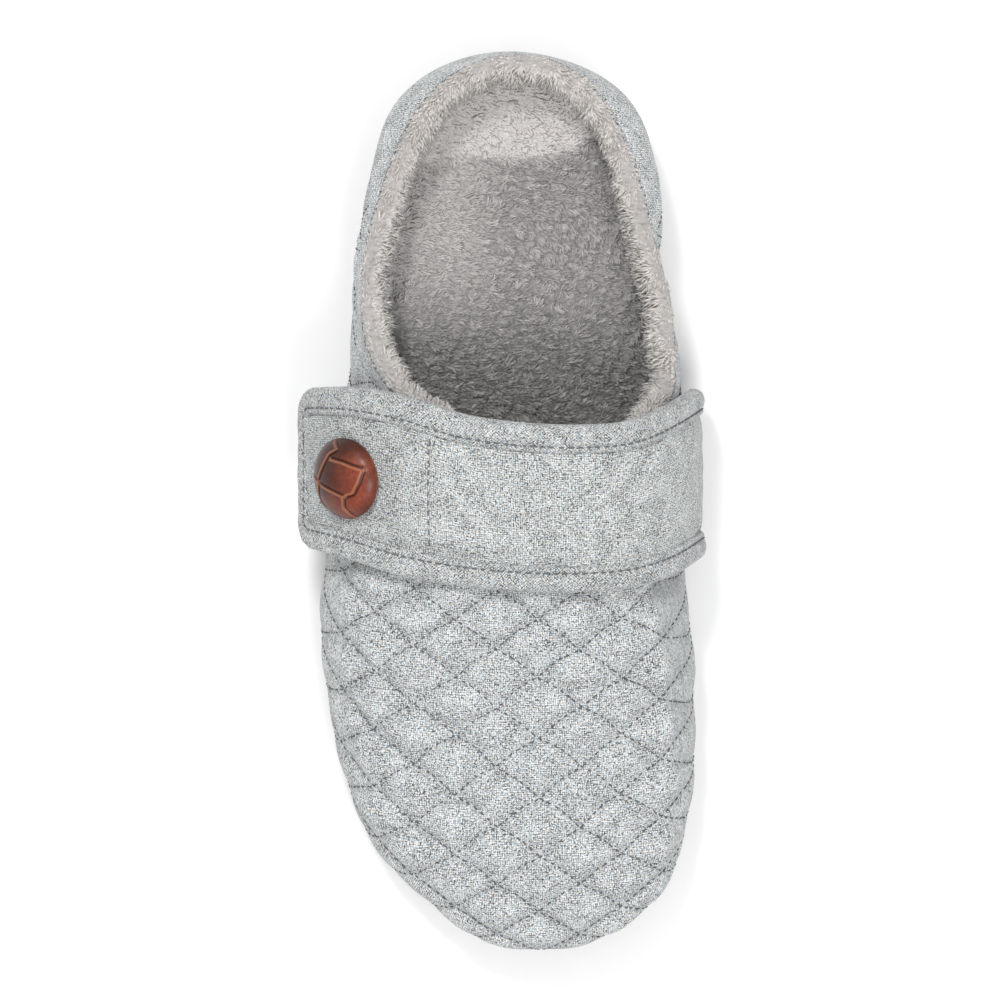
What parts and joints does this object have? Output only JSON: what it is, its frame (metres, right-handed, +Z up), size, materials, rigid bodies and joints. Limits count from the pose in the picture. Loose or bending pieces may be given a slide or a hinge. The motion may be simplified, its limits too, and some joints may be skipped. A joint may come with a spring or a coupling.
{
  "type": "scuff slipper",
  "caption": "Grey wool scuff slipper with a diamond-quilted vamp, a buttoned instep strap, a plush collar and insole, and a rubber sole.",
  "frame": {"origin": "centre of the bounding box's underside, on the floor under the sole", "axes": "+Y from the toe to the heel, +X to the wearer's inner (medial) side, +Z up"},
  "size_m": [0.1197, 0.265, 0.0843],
  "materials": {
    "rubber": "matte",
    "plush_insole": "matte",
    "heather_wool": "matte",
    "plush_pile": "matte",
    "strap_wool": "matte",
    "bias_wool": "matte",
    "leather": "semi-gloss"
  },
  "bodies": {
    "root": {"outsole": "rubber", "insole": "plush_insole", "upper": "heather_wool", "collar_cuff": "plush_pile", "strap": "strap_wool", "strap_binding": "bias_wool", "button": "leather"}
  },
  "joints": []
}
